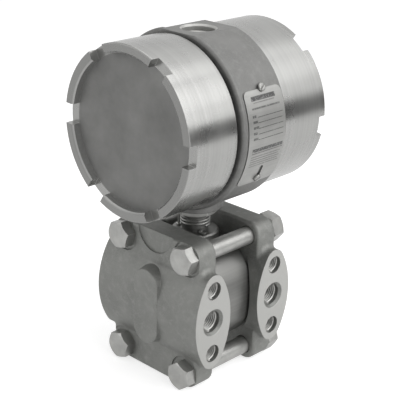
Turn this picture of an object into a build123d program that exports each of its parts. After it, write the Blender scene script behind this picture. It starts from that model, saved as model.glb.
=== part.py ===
from build123d import *
import os
from math import cos, radians, sin, sqrt

# Differential pressure transmitter, in millimetres.
# +Z is up, the process ports face +X, the front cover faces -Y,
# and the origin lies under the middle of the two flanges, on the plane they stand on.

# Process flanges
port_spacing = 54.0
adapter_bolt_spacing = 41.3
flange_width = 86.0
flange_height = 94.5
ear_width = 73.0
ear_thickness = 14.8
ear_corner_radius = 9.0
cast_skin = 1.0
cast_edge_radius = 2.0
cast_root_radius = 4.0
pad_half_width = 14.8
pad_half_height = 30.7
pad_tip_radius = 8.2
port_radius = 6.85
port_mouth_radius = 8.6
port_thread_length = 14.0
port_passage_radius = 4.0
adapter_hole_radius = 5.55
far_hole_radius = 4.95
adapter_hole_depth = 16.0
vent_boss_width = 20.0
vent_boss_height = 49.0
vent_boss_rise = 8.0
vent_boss_draft = 10.0
vent_boss_edge_radius = 1.0
top_relief_radius = 14.5
top_relief_drop = 1.0
top_relief_above = 0.8
chamber_radius = 21.0
chamber_depth = 1.5
chamber_port_offset = 15.0

# Flange bolts and nuts
bolt_spacing_x = 54.0
bolt_spacing_z = 76.0
bolt_radius = 5.55
bolt_hole_clearance = 0.4
bolt_head_flats = 15.9
bolt_head_height = 7.1
nut_flats = 17.5
nut_height = 9.5
bolt_end_past_nut = 2.0
spot_face_radius = 11.0
hex_chamfer_drop = 1.0
hex_face_ratio = 0.97
turned_chamfer = 1.0
thread_fit = 0.05

# Sensor module
module_radius = 35.5
module_thickness = 37.0
module_step_width = 2.5
module_step_depth = 1.5
module_clearance = 1.0
diaphragm_radius = 22.0
diaphragm_thickness = 0.4
diaphragm_recess = 1.0
ring_section_radius = 1.5
ring_centre_radius = 24.0
ring_groove_clearance = 0.1
collar_radius = 15.0
collar_top_above_port = 40.5
neck_radius = 8.9
neck_relief_depth = 0.9
neck_relief_length = 2.2
neck_bore_radius = 5.0
neck_bore_depth = 55.0
header_height = 3.0
header_pin_radius = 0.5
header_pin_length = 4.0
header_pin_count = 6
header_pin_circle = 3.2
fill_tube_radius = 0.8
fill_tube_foot_radius = 1.6
fill_tube_height = 9.5
fill_tube_chamfer = 0.4
fill_tube_x = -9.9
fill_tube_y = -4.3
fill_plug_radius = 2.9
fill_plug_height = 1.6
fill_plug_rim = 0.9
fill_plug_x = 11.1
fill_plug_y = -4.3

# Housing
neck_boss_drop = 3.3
housing_mid_y = -1.2
band_half_width = 18.2
band_radius = 53.8
bead_rise = 0.6
bead_width = 4.0
bead_front_radius = 2.0
bead_back_radius = 0.5
spigot_length = 28.3
spigot_radius = 48.1
compartment_radius = 43.5
partition_thickness = 6.0
neck_boss_radius = 17.0
neck_socket_clearance = 0.1
lock_nut_flats = 25.4
lock_nut_height = 3.9
lock_nut_gap = 0.1
lock_nut_angle = 44.0
neck_boss_above_port = 56.0
neck_engagement = 17.0
inner_boss_wall = 3.0
socket_cap = 5.0
conduit_radius = 9.85
conduit_mouth_chamfer = 1.2
conduit_depth = 20.0
conduit_floor = 3.0
conduit_flat_drop = 1.45
side_boss_radius = 17.0
side_boss_rise = 3.2
boss_root = 2.0
cut_margin = 1.0
window_width = 12.0
window_height = 9.0

# Covers
cover_length = 37.3
cover_gap = 2.2
cover_radius = 51.5
cover_thread_clearance = 0.25
cover_plate_thickness = 4.5
cover_rim_width = 6.0
cover_rim_depth = 5.5
cover_rim_chamfer = 1.2
cover_edge_radius = 0.8
notch_count = 6
notch_width = 12.5
front_notch_phase = -1.5
rear_notch_phase = 7.0
cover_ring_radius = 0.9
cover_ring_clearance = 0.15

# Nameplate and the adjusting screws under it
plate_thickness = 0.8
plate_gap = 0.05
plate_width = 31.0
plate_offset_y = 1.5
plate_top_angle = 61.3
plate_bottom_angle = 123.4
plate_corner_radius = 4.0
plate_screw_radius = 1.2
plate_screw_head_radius = 2.5
plate_screw_head_height = 1.5
plate_screw_edge_radius = 0.8
plate_screw_slot_angle = 35.0
plate_screw_depth = 5.0
plate_screw_clearance = 0.25
plate_travel = 8.0
upper_screw_angle = 60.9
lower_screw_angle = 119.3
adjuster_angle = 65.3
adjuster_spacing = 15.0
adjuster_offset_y = 1.5
adjuster_shaft_radius = 2.5
adjuster_head_radius = 3.6
adjuster_head_height = 2.0
adjuster_sink = 3.0
adjuster_inner_reach = 41.5
adjuster_clearance = 0.1
screw_slot_width = 0.9
screw_slot_depth = 0.8

# Vent valves in the ports on the far side
vent_seat_length = 12.0
vent_seat_flats = 15.9
vent_seat_hex_height = 4.5
vent_stem_radius = 2.6
vent_stem_depth = 9.0
vent_stem_tip_chamfer = 1.2
vent_stem_flats = 8.0
vent_stem_hex_height = 5.0
vent_stem_clearance = 0.1
vent_drain_radius = 1.2

# Terminal side and electronics side
terminal_block_length = 58.0
terminal_block_height = 26.0
terminal_block_depth = 14.0
terminal_block_corner = 2.0
terminal_bay_height = 11.0
terminal_count = 4
terminal_pitch = 12.0
terminal_bay_width = 10.0
terminal_bay_depth = 5.0
terminal_screw_radius = 1.9
terminal_head_radius = 3.6
terminal_head_height = 2.4
terminal_screw_length = 8.0
block_screw_radius = 1.5
block_screw_head_radius = 2.8
block_screw_margin = 4.0
block_screw_offset_z = 9.0
block_screw_depth = 4.0
board_radius = 39.0
board_thickness = 1.6
board_post_circle = 34.0
board_post_flats = 6.0
lower_post_length = 15.0
upper_post_length = 11.0
board_screw_radius = 1.5
board_screw_head_radius = 2.8
board_screw_head_height = 2.2
board_screw_depth = 6.0
screw_hole_clearance = 0.1

# Plug in the spare conduit entry
plug_length = 15.0
plug_sink = 0.5
plug_socket_flats = 9.5
plug_socket_depth = 7.0

# Places worked out from the sizes above
port_height = flange_height / 2
inner_y = module_thickness / 2
seat_y = inner_y + ear_thickness
cast_y = seat_y + cast_skin
pad_y = port_spacing / 2
half_width = flange_width / 2
pad_tip_z = pad_half_height - pad_tip_radius
pad_chord = pad_half_width**2 + pad_tip_z**2 - pad_tip_radius**2
pad_side_radius = pad_chord / (2 * (pad_half_width - pad_tip_radius))
port_chamfer = port_mouth_radius - port_radius
port_depth = port_thread_length + port_chamfer
boss_z = port_height + neck_boss_above_port
axis_z = boss_z + neck_boss_drop + band_radius
collar_z = port_height + collar_top_above_port
nut_top_z = boss_z - lock_nut_gap
neck_top_z = boss_z + neck_engagement
bead_radius = band_radius + bead_rise
conduit_top_z = axis_z + band_radius - conduit_flat_drop
side_boss_reach = band_radius + side_boss_rise
block_screw_spacing = terminal_block_length - 2 * block_screw_margin
front_band_y = housing_mid_y - band_half_width
rear_band_y = housing_mid_y + band_half_width
cover_open_half = band_half_width + cover_gap
cover_rim_half = cover_open_half + cover_length
cover_floor_half = cover_rim_half - cover_rim_depth
cover_inner_half = cover_floor_half - cover_plate_thickness
cover_bore_radius = spigot_radius + cover_thread_clearance
wall_front_y = housing_mid_y - partition_thickness / 2
wall_rear_y = housing_mid_y + partition_thickness / 2
inner_boss_radius = conduit_radius + inner_boss_wall
plate_inner_radius = band_radius + plate_gap
plate_outer_radius = plate_inner_radius + plate_thickness
plate_mid_y = housing_mid_y + plate_offset_y
housing_axis = Axis((0, housing_mid_y, axis_z), (0, 1, 0))
hex_corner = 1 / cos(radians(30))
corners = [
    ("upper_left", -1, 1, 15.0, 10.0),
    ("upper_right", 1, 1, 12.0, 10.0),
    ("lower_left", -1, -1, 17.0, 57.0),
    ("lower_right", 1, -1, 37.0, 3.0),
]


def radial_plane(angle, y, radius):
    """Plane square to the housing's radius, at an angle counted from the top towards the ports."""
    outward = Vector(sin(radians(angle)), 0, cos(radians(angle)))
    return Plane(origin=Vector(0, y, axis_z) + outward * radius, x_dir=(0, 1, 0), z_dir=outward)


def chamfered_hex(plane, flats, height, corner_angle, both_ends=False):
    """Hexagon raised from a plane, its corners turned off at the far end or at both ends."""
    with BuildPart() as blank:
        with BuildSketch(plane):
            Circle(flats / 2 * hex_corner)
        extrude(amount=height)
        rims = blank.edges().filter_by(GeomType.CIRCLE).sort_by(Axis(plane.origin, plane.z_dir))
        far_reach = flats / 2 * (hex_corner - hex_face_ratio)
        chamfer(rims if both_ends else rims[-1:], length=hex_chamfer_drop, length2=far_reach)
        with BuildSketch(plane):
            RegularPolygon(flats / 2 * hex_corner, 6, rotation=corner_angle)
        extrude(amount=height, mode=Mode.INTERSECT)
    return blank.part


def cover_blank(side, notch_phase):
    """Turned cup with a raised, notched rim round its end plate."""
    mid = housing_mid_y
    with BuildPart() as cup:
        with BuildSketch(Plane.YZ):
            with BuildLine():
                Polyline(
                    (mid + side * cover_open_half, axis_z + cover_bore_radius),
                    (mid + side * cover_open_half, axis_z + cover_radius),
                    (mid + side * cover_rim_half, axis_z + cover_radius),
                    (mid + side * cover_rim_half, axis_z + cover_radius - cover_rim_width),
                    (mid + side * cover_floor_half, axis_z + cover_radius - cover_rim_width),
                    (mid + side * cover_floor_half, axis_z),
                    (mid + side * cover_inner_half, axis_z),
                    (mid + side * cover_inner_half, axis_z + cover_bore_radius),
                    close=True,
                )
            make_face()
        revolve(axis=housing_axis)
        rims = cup.edges().filter_by(GeomType.CIRCLE).group_by(Axis.Y)[-1 if side > 0 else 0]
        chamfer(rims.sort_by(SortBy.RADIUS)[0], length=cover_rim_chamfer)
        rims = cup.edges().filter_by(GeomType.CIRCLE).group_by(Axis.Y)[-1 if side > 0 else 0]
        fillet(rims.sort_by(SortBy.RADIUS)[-1], radius=cover_edge_radius)
        rim_centre = (0, mid + side * cover_rim_half, axis_z)
        rim_plane = Plane(origin=rim_centre, x_dir=(1, 0, 0), z_dir=(0, side, 0))
        with BuildSketch(rim_plane):
            with PolarLocations(cover_radius - cover_rim_width / 2, notch_count, start_angle=notch_phase):
                Rectangle(2 * cover_rim_width, notch_width)
        extrude(amount=-cover_rim_depth, mode=Mode.SUBTRACT)
    return cup.part


os.makedirs("parts", exist_ok=True)


# Front flange: a bar with four bolt ears, crossed by a lens-shaped barrel that ends in two pads
with BuildPart() as front_flange:
    with BuildSketch(Plane.XZ.offset(inner_y)):
        with Locations((0, port_height)):
            RectangleRounded(ear_width, flange_height, ear_corner_radius)
    extrude(amount=ear_thickness + cast_skin)
    bar_faces = front_flange.faces().sort_by(Axis.Y)
    fillet(bar_faces[0].edges() + bar_faces[-1].edges(), radius=cast_edge_radius)
    with BuildSketch(Plane.YZ.offset(-half_width)) as lens:
        with Locations((-pad_y - pad_side_radius + pad_half_width, port_height)):
            Circle(pad_side_radius)
        with Locations((-pad_y + pad_side_radius - pad_half_width, port_height)):
            Circle(pad_side_radius, mode=Mode.INTERSECT)
        fillet(lens.vertices(), radius=pad_tip_radius)
    extrude(amount=flange_width)
    root_edges = front_flange.edges().filter_by(Axis.X)
    root_edges = root_edges.filter_by(lambda edge: abs(edge.center().Y + cast_y) < 0.01)
    root_edges = root_edges.filter_by(lambda edge: abs(edge.center().Z - port_height) < pad_half_height)
    fillet(root_edges, radius=cast_root_radius)
    # Raised boss on the outer face, where a side vent could be drilled
    with BuildSketch(Plane.XZ.offset(cast_y + vent_boss_rise)):
        with Locations((0, port_height)):
            SlotOverall(vent_boss_height, vent_boss_width, rotation=90)
    extrude(amount=-vent_boss_rise, taper=-vent_boss_draft)
    fillet(front_flange.faces().sort_by(Axis.Y)[0].edges(), radius=vent_boss_edge_radius)
    # Clearance round the module, spot faces, bolt holes and the shallow relief at the top
    with BuildSketch(Plane.XZ):
        with Locations((0, port_height)):
            Circle(module_radius + module_clearance)
    extrude(amount=inner_y, mode=Mode.SUBTRACT)
    with BuildSketch(Plane.XZ.offset(seat_y)):
        with Locations((0, port_height)):
            with GridLocations(bolt_spacing_x, bolt_spacing_z, 2, 2):
                Circle(spot_face_radius)
    extrude(amount=flange_height, mode=Mode.SUBTRACT)
    with BuildSketch(Plane.XZ.offset(seat_y + cast_skin - top_relief_drop)):
        with Locations((0, flange_height + top_relief_above)):
            Circle(top_relief_radius)
    extrude(amount=top_relief_drop, mode=Mode.SUBTRACT)
    with BuildSketch(Plane.XZ):
        with Locations((0, port_height)):
            with GridLocations(bolt_spacing_x, bolt_spacing_z, 2, 2):
                Circle(bolt_radius + bolt_hole_clearance)
    extrude(amount=flange_height, mode=Mode.SUBTRACT)
    # Ports, adapter bolt holes and passages to the chamber in front of the diaphragm
    # The far end's adapter holes are only drilled to tapping size
    for side, side_hole_radius in ((1, adapter_hole_radius), (-1, far_hole_radius)):
        with BuildSketch(Plane.YZ.offset(side * half_width)):
            with Locations((-pad_y, port_height)):
                Circle(port_radius)
        extrude(amount=-side * port_depth, mode=Mode.SUBTRACT)
        with BuildSketch(Plane.YZ.offset(side * half_width)):
            with Locations((-pad_y, port_height)):
                with GridLocations(0, adapter_bolt_spacing, 1, 2):
                    Circle(side_hole_radius)
        extrude(amount=-side * adapter_hole_depth, mode=Mode.SUBTRACT)
        with BuildSketch(Plane.YZ.offset(side * half_width)):
            with Locations((-pad_y, port_height)):
                Circle(port_passage_radius)
        extrude(amount=-side * (half_width - chamber_port_offset), mode=Mode.SUBTRACT)
        mouth = front_flange.edges().filter_by(GeomType.CIRCLE).group_by(Axis.X)[-1 if side > 0 else 0]
        chamfer(mouth.filter_by(lambda edge: abs(edge.radius - port_radius) < 0.01), length=port_chamfer)
    with BuildSketch(Plane.XZ.offset(inner_y)):
        with Locations((-chamber_port_offset, port_height), (chamber_port_offset, port_height)):
            Circle(port_passage_radius)
    extrude(amount=pad_y - inner_y, mode=Mode.SUBTRACT)
    with BuildSketch(Plane.XZ.offset(inner_y)):
        with Locations((0, port_height)):
            Circle(chamber_radius)
    extrude(amount=chamber_depth, mode=Mode.SUBTRACT)
    with BuildSketch(Plane.XZ.offset(inner_y)):
        with Locations((0, port_height)):
            Circle(ring_centre_radius + ring_section_radius + ring_groove_clearance)
            Circle(ring_centre_radius - ring_section_radius - ring_groove_clearance, mode=Mode.SUBTRACT)
    extrude(amount=2 * ring_section_radius + ring_groove_clearance, mode=Mode.SUBTRACT)
front_flange.part.label = "front_flange"
export_step(front_flange.part, "parts/front_flange.step")

with BuildPart() as rear_flange:
    mirror(front_flange.part, about=Plane.XZ)
rear_flange.part.label = "rear_flange"
export_step(rear_flange.part, "parts/rear_flange.step")

# Bolts through both flanges, with their heads in front and their nuts behind
for corner, side_x, side_z, head_angle, nut_angle in corners:
    bolt_x = side_x * bolt_spacing_x / 2
    bolt_z = port_height + side_z * bolt_spacing_z / 2
    head_plane = Plane(origin=(bolt_x, -seat_y, bolt_z), x_dir=(1, 0, 0), z_dir=(0, -1, 0))
    head_blank = chamfered_hex(head_plane, bolt_head_flats, bolt_head_height, head_angle)
    with BuildPart() as bolt:
        add(head_blank)
        with BuildSketch(head_plane):
            Circle(bolt_radius)
        extrude(amount=-(2 * seat_y + nut_height + bolt_end_past_nut))
        chamfer(bolt.edges().filter_by(GeomType.CIRCLE).sort_by(Axis.Y)[-1], length=turned_chamfer)
    bolt.part.label = "flange_bolt_" + corner
    export_step(bolt.part, "parts/flange_bolt_" + corner + ".step")

    nut_plane = Plane(origin=(bolt_x, seat_y, bolt_z), x_dir=(1, 0, 0), z_dir=(0, 1, 0))
    nut_blank = chamfered_hex(nut_plane, nut_flats, nut_height, nut_angle, both_ends=True)
    with BuildPart() as nut:
        add(nut_blank)
        with BuildSketch(nut_plane):
            Circle(bolt_radius + thread_fit)
        extrude(amount=nut_height, mode=Mode.SUBTRACT)
    nut.part.label = "flange_nut_" + corner
    export_step(nut.part, "parts/flange_nut_" + corner + ".step")

# Sensor module: a drum between the flanges, with a collar and the threaded neck in one piece
with BuildPart() as sensor_module:
    with BuildSketch(Plane.YZ):
        with BuildLine():
            Polyline(
                (-inner_y, port_height),
                (-inner_y, port_height + module_radius - module_step_depth),
                (-inner_y + module_step_width, port_height + module_radius - module_step_depth),
                (-inner_y + module_step_width, port_height + module_radius),
                (inner_y - module_step_width, port_height + module_radius),
                (inner_y - module_step_width, port_height + module_radius - module_step_depth),
                (inner_y, port_height + module_radius - module_step_depth),
                (inner_y, port_height),
                close=True,
            )
        make_face()
    revolve(axis=Axis((0, 0, port_height), (0, 1, 0)))
    for side in (1, -1):
        with BuildSketch(Plane.XZ.offset(side * inner_y)):
            with Locations((0, port_height)):
                Circle(diaphragm_radius)
        extrude(amount=-side * diaphragm_recess, mode=Mode.SUBTRACT)
    with BuildSketch(Plane.XY.offset(port_height + module_radius / 2)):
        Circle(collar_radius)
    extrude(amount=collar_z - port_height - module_radius / 2)
    chamfer(sensor_module.edges().filter_by(GeomType.CIRCLE).sort_by(Axis.Z)[-1], length=turned_chamfer)
    with BuildSketch(Plane.XY.offset(collar_z)):
        Circle(neck_radius - neck_relief_depth)
    extrude(amount=neck_relief_length)
    with BuildSketch(Plane.XY.offset(collar_z + neck_relief_length)):
        Circle(neck_radius)
    extrude(amount=neck_top_z - collar_z - neck_relief_length)
    chamfer(sensor_module.edges().filter_by(GeomType.CIRCLE).sort_by(Axis.Z)[-1], length=turned_chamfer)
    with BuildSketch(Plane.XY.offset(neck_top_z)):
        Circle(neck_bore_radius)
    extrude(amount=-neck_bore_depth, mode=Mode.SUBTRACT)
sensor_module.part.label = "sensor_module"
export_step(sensor_module.part, "parts/sensor_module.step")

# Sealed header at the top of the neck, with its contact pins
with BuildPart() as module_header:
    with BuildSketch(Plane.XY.offset(neck_top_z - header_height)):
        Circle(neck_bore_radius - thread_fit)
    extrude(amount=header_height)
    with BuildSketch(Plane.XY.offset(neck_top_z)):
        with PolarLocations(header_pin_circle, header_pin_count):
            Circle(header_pin_radius)
    extrude(amount=header_pin_length)
module_header.part.label = "module_header"
export_step(module_header.part, "parts/module_header.step")

# Oil fill tube, pinched shut, and the fill plug, both standing on the collar
with BuildPart() as fill_tube:
    with BuildSketch(Plane.XY.offset(collar_z)):
        with Locations((fill_tube_x, fill_tube_y)):
            Circle(fill_tube_foot_radius)
    extrude(amount=fill_tube_radius)
    with BuildSketch(Plane.XY.offset(collar_z)):
        with Locations((fill_tube_x, fill_tube_y)):
            Circle(fill_tube_radius)
    extrude(amount=fill_tube_height)
    chamfer(fill_tube.edges().filter_by(GeomType.CIRCLE).sort_by(Axis.Z)[-1], length=fill_tube_chamfer)
fill_tube.part.label = "fill_tube"
export_step(fill_tube.part, "parts/fill_tube.step")

with BuildPart() as fill_plug:
    with BuildSketch(Plane.XY.offset(collar_z)):
        with Locations((fill_plug_x, fill_plug_y)):
            Circle(fill_plug_radius)
    extrude(amount=fill_plug_height)
    with BuildSketch(Plane.XY.offset(collar_z + fill_plug_height)):
        with Locations((fill_plug_x, fill_plug_y)):
            Circle(fill_plug_radius - fill_plug_rim)
    extrude(amount=-fill_plug_height / 2, mode=Mode.SUBTRACT)
fill_plug.part.label = "fill_plug"
export_step(fill_plug.part, "parts/fill_plug.step")

# Isolating diaphragms, with their pressed ripples, and the rings that seal the flanges
for place, side in (("front", -1), ("rear", 1)):
    floor_y = side * (inner_y - diaphragm_recess)
    with BuildPart() as diaphragm:
        with BuildSketch(Plane.YZ):
            with Locations((floor_y + side * diaphragm_thickness / 2, port_height)):
                Rectangle(diaphragm_thickness, diaphragm_radius - thread_fit, align=(Align.CENTER, Align.MIN))
            with Locations((floor_y + side * diaphragm_thickness, port_height + diaphragm_radius / 2)):
                with GridLocations(0, diaphragm_radius / 4, 1, 3):
                    Circle(diaphragm_thickness / 2)
        revolve(axis=Axis((0, 0, port_height), (0, 1, 0)))
    diaphragm.part.label = place + "_diaphragm"
    export_step(diaphragm.part, "parts/" + place + "_diaphragm.step")

    with BuildPart() as flange_seal:
        with BuildSketch(Plane.YZ):
            ring_y = side * (inner_y + ring_section_radius + ring_groove_clearance / 2)
            with Locations((ring_y, port_height + ring_centre_radius)):
                Circle(ring_section_radius)
        revolve(axis=Axis((0, 0, port_height), (0, 1, 0)))
    flange_seal.part.label = place + "_flange_seal"
    export_step(flange_seal.part, "parts/" + place + "_flange_seal.step")

# Vent valves: a seat screwed into each port on the far side, and a stem in the seat
for place, side in (("front", -1), ("rear", 1)):
    seat_centre = (-half_width, side * pad_y, port_height)
    hex_plane = Plane(origin=seat_centre, x_dir=(0, 1, 0), z_dir=(-1, 0, 0))
    seat_blank = chamfered_hex(hex_plane, vent_seat_flats, vent_seat_hex_height, 0)
    with BuildPart() as vent_seat:
        add(seat_blank)
        with BuildSketch(hex_plane):
            Circle(port_radius - thread_fit)
        extrude(amount=-(port_chamfer + vent_seat_length))
        with BuildSketch(hex_plane.offset(vent_seat_hex_height)):
            Circle(vent_stem_radius + vent_stem_clearance)
        extrude(amount=-vent_stem_depth, mode=Mode.SUBTRACT)
        with BuildSketch(hex_plane.offset(vent_seat_hex_height)):
            Circle(vent_drain_radius)
        extrude(amount=-(vent_seat_hex_height + port_chamfer + vent_seat_length), mode=Mode.SUBTRACT)
    vent_seat.part.label = place + "_vent_seat"
    export_step(vent_seat.part, "parts/" + place + "_vent_seat.step")

    stem_plane = hex_plane.offset(vent_seat_hex_height)
    stem_blank = chamfered_hex(stem_plane, vent_stem_flats, vent_stem_hex_height, 0)
    with BuildPart() as vent_stem:
        add(stem_blank)
        with BuildSketch(stem_plane):
            Circle(vent_stem_radius)
        extrude(amount=-vent_stem_depth)
        tip_edge = vent_stem.edges().filter_by(GeomType.CIRCLE).sort_by(Axis.X)[-1]
        chamfer(tip_edge, length=vent_stem_tip_chamfer)
        with BuildSketch(stem_plane.offset(vent_stem_hex_height)):
            Circle(vent_drain_radius)
        extrude(amount=-vent_stem_hex_height, mode=Mode.SUBTRACT)
    vent_stem.part.label = place + "_vent_stem"
    export_step(vent_stem.part, "parts/" + place + "_vent_stem.step")

# Lock nut under the housing, one corner to the right of the front view
lock_plane = Plane.XY.offset(nut_top_z - lock_nut_height)
lock_blank = chamfered_hex(lock_plane, lock_nut_flats, lock_nut_height, lock_nut_angle, both_ends=True)
with BuildPart() as lock_nut:
    add(lock_blank)
    with BuildSketch(Plane.XY.offset(nut_top_z)):
        Circle(neck_radius + neck_socket_clearance)
    extrude(amount=-lock_nut_height, mode=Mode.SUBTRACT)
lock_nut.part.label = "lock_nut"
export_step(lock_nut.part, "parts/lock_nut.step")

# Housing casting: a turned band with a partition, a flat for the conduit entry on top,
# the conduit boss on the far side and the neck boss below
with BuildPart() as housing_body:
    with BuildSketch(Plane.YZ):
        with BuildLine():
            Polyline(
                (front_band_y, axis_z + compartment_radius),
                (front_band_y, axis_z + bead_radius),
                (front_band_y + bead_width, axis_z + bead_radius),
                (front_band_y + bead_width, axis_z + band_radius),
                (rear_band_y, axis_z + band_radius),
                (rear_band_y, axis_z + compartment_radius),
                (wall_rear_y, axis_z + compartment_radius),
                (wall_rear_y, axis_z),
                (wall_front_y, axis_z),
                (wall_front_y, axis_z + compartment_radius),
                close=True,
            )
        make_face()
    revolve(axis=housing_axis)
    crest_edges = housing_body.edges().filter_by(GeomType.CIRCLE)
    crest_edges = crest_edges.filter_by(lambda edge: abs(edge.radius - bead_radius) < 0.01).sort_by(Axis.Y)
    fillet(crest_edges[0], radius=bead_front_radius)
    crest_edges = housing_body.edges().filter_by(GeomType.CIRCLE)
    crest_edges = crest_edges.filter_by(lambda edge: abs(edge.radius - bead_radius) < 0.01).sort_by(Axis.Y)
    fillet(crest_edges[-1], radius=bead_back_radius)
    # Neck boss, blended into the band
    with BuildSketch(Plane.XY.offset(boss_z)):
        Circle(neck_boss_radius)
    extrude(amount=axis_z - compartment_radius - boss_root - boss_z)
    # Bosses inside for the conduit entry and for the neck, standing across the partition
    inside_top_z = conduit_top_z - conduit_depth - conduit_floor
    with BuildSketch(Plane.XY.offset(inside_top_z)):
        with Locations((0, housing_mid_y)):
            Circle(inner_boss_radius)
    extrude(amount=axis_z + compartment_radius + boss_root - inside_top_z)
    with BuildSketch(Plane.XY.offset(boss_z)):
        Circle(neck_radius + inner_boss_wall)
    extrude(amount=neck_engagement + window_height + socket_cap)
    # Flat on top for the conduit entry, milled straight across the band and the bead
    with BuildSketch(Plane.XY.offset(conduit_top_z)):
        with Locations((0, housing_mid_y)):
            Rectangle(2 * bead_radius, 3 * band_half_width)
    extrude(amount=bead_radius, mode=Mode.SUBTRACT)
    # Conduit boss on the far side, with its own boss inside
    with BuildSketch(Plane.YZ.offset(-side_boss_reach)):
        with Locations((housing_mid_y, axis_z)):
            Circle(side_boss_radius)
    extrude(amount=side_boss_reach - compartment_radius - boss_root)
    inside_reach = side_boss_reach - conduit_depth - conduit_floor
    with BuildSketch(Plane.YZ.offset(-inside_reach)):
        with Locations((housing_mid_y, axis_z)):
            Circle(inner_boss_radius)
    extrude(amount=inside_reach - compartment_radius - boss_root)
    # Conduit threads and the windows that lead the wires to the terminal side
    with BuildSketch(Plane.XY.offset(conduit_top_z)):
        with Locations((0, housing_mid_y)):
            Circle(conduit_radius)
    extrude(amount=-conduit_depth, mode=Mode.SUBTRACT)
    entry_edges = housing_body.edges().filter_by(GeomType.CIRCLE)
    entry_edges = entry_edges.filter_by(lambda edge: abs(edge.radius - conduit_radius) < 0.01)
    chamfer(entry_edges.sort_by(Axis.Z)[-1], length=conduit_mouth_chamfer)
    with BuildSketch(Plane.YZ.offset(-side_boss_reach)):
        with Locations((housing_mid_y, axis_z)):
            Circle(conduit_radius)
    extrude(amount=conduit_depth, mode=Mode.SUBTRACT)
    with BuildSketch(Plane.XZ.offset(-housing_mid_y)):
        with Locations((0, conduit_top_z - conduit_depth + window_height / 2)):
            Rectangle(window_width, window_height)
        with Locations((-side_boss_reach + conduit_depth - window_height / 2, axis_z)):
            Rectangle(window_height, window_width)
    extrude(amount=-(inner_boss_radius + cut_margin), mode=Mode.SUBTRACT)
    # Neck socket, and its window to the electronics side
    with BuildSketch(Plane.XY.offset(boss_z)):
        Circle(neck_radius + neck_socket_clearance)
    extrude(amount=neck_engagement + window_height, mode=Mode.SUBTRACT)
    with BuildSketch(Plane.XZ):
        with Locations((0, neck_top_z + window_height / 2)):
            Rectangle(window_width, window_height)
    extrude(amount=neck_radius + inner_boss_wall + cut_margin, mode=Mode.SUBTRACT)
    # Sunk seats and holes for the two adjusting screws, and holes for the nameplate screws
    for step in (-1, 1):
        adjuster_y = housing_mid_y + adjuster_offset_y + step * adjuster_spacing / 2
        with BuildSketch(radial_plane(adjuster_angle, adjuster_y, band_radius + cut_margin)):
            Circle(adjuster_head_radius + adjuster_clearance)
        extrude(amount=-(adjuster_sink + cut_margin), mode=Mode.SUBTRACT)
        with BuildSketch(radial_plane(adjuster_angle, adjuster_y, band_radius)):
            Circle(adjuster_shaft_radius + adjuster_clearance)
        extrude(amount=-(band_radius - compartment_radius + cut_margin), mode=Mode.SUBTRACT)
    for angle in (upper_screw_angle, lower_screw_angle):
        with BuildSketch(radial_plane(angle, plate_mid_y, band_radius + cut_margin)):
            Circle(plate_screw_radius)
        extrude(amount=-(plate_screw_depth + cut_margin), mode=Mode.SUBTRACT)
    # Blind holes in the partition for the terminal block and the board posts
    with BuildSketch(Plane.XZ.offset(-wall_rear_y)):
        for step in (-1, 1):
            with Locations((step * block_screw_spacing / 2, axis_z + block_screw_offset_z)):
                Circle(block_screw_radius)
    extrude(amount=block_screw_depth, mode=Mode.SUBTRACT)
housing_body.part.label = "housing_body"
export_step(housing_body.part, "parts/housing_body.step")

# Threaded spigots of the housing casting, which carry the covers
for place, side in (("front", -1), ("rear", 1)):
    with BuildPart() as spigot:
        with BuildSketch(Plane.XZ.offset(-housing_mid_y - side * band_half_width)):
            with Locations((0, axis_z)):
                Circle(spigot_radius)
                Circle(compartment_radius, mode=Mode.SUBTRACT)
        extrude(amount=-side * spigot_length)
    spigot.part.label = place + "_spigot"
    export_step(spigot.part, "parts/" + place + "_spigot.step")

# Covers, and the rings that seal them against the band
for place, side, phase in (("front", -1, front_notch_phase), ("rear", 1, rear_notch_phase)):
    cover = cover_blank(side, phase)
    cover.label = place + "_cover"
    export_step(cover, "parts/" + place + "_cover.step")
    with BuildPart() as cover_seal:
        with BuildSketch(Plane.YZ):
            ring_y = housing_mid_y + side * (band_half_width + cover_gap / 2)
            with Locations((ring_y, axis_z + spigot_radius + cover_ring_radius + cover_ring_clearance)):
                Circle(cover_ring_radius)
        revolve(axis=housing_axis)
    cover_seal.part.label = place + "_cover_seal"
    export_step(cover_seal.part, "parts/" + place + "_cover_seal.step")

# Nameplate: a sheet rolled to the band, with a notch for the upper screw and a slot for the lower one
with BuildPart() as nameplate:
    with BuildSketch(Plane.XZ.offset(-plate_mid_y - plate_width / 2)):
        with Locations((0, axis_z)):
            Circle(plate_outer_radius)
            Circle(plate_inner_radius, mode=Mode.SUBTRACT)
        with BuildLine():
            upper_end = radial_plane(plate_top_angle, 0, 2 * band_radius).origin
            lower_end = radial_plane(plate_bottom_angle, 0, 2 * band_radius).origin
            Polyline(
                (0, axis_z),
                (upper_end.X, upper_end.Z),
                (2 * band_radius, axis_z),
                (lower_end.X, lower_end.Z),
                close=True,
            )
        make_face(mode=Mode.INTERSECT)
    extrude(amount=plate_width)
    corner_edges = nameplate.edges().filter_by(lambda edge: abs(edge.length - plate_thickness) < 0.01)
    fillet(corner_edges, radius=plate_corner_radius)
    slot_radius = plate_screw_radius + plate_screw_clearance
    slot_run = 2 * band_radius * sin(radians(plate_travel / 2))
    for angle in (upper_screw_angle, lower_screw_angle):
        slot_angle = angle - plate_travel / 2
        with BuildSketch(radial_plane(slot_angle, plate_mid_y, plate_outer_radius + cut_margin)):
            SlotCenterToCenter(slot_run, 2 * slot_radius, rotation=90)
        extrude(amount=-(plate_thickness + 2 * cut_margin), mode=Mode.SUBTRACT)
nameplate.part.label = "nameplate"
export_step(nameplate.part, "parts/nameplate.step")

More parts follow.
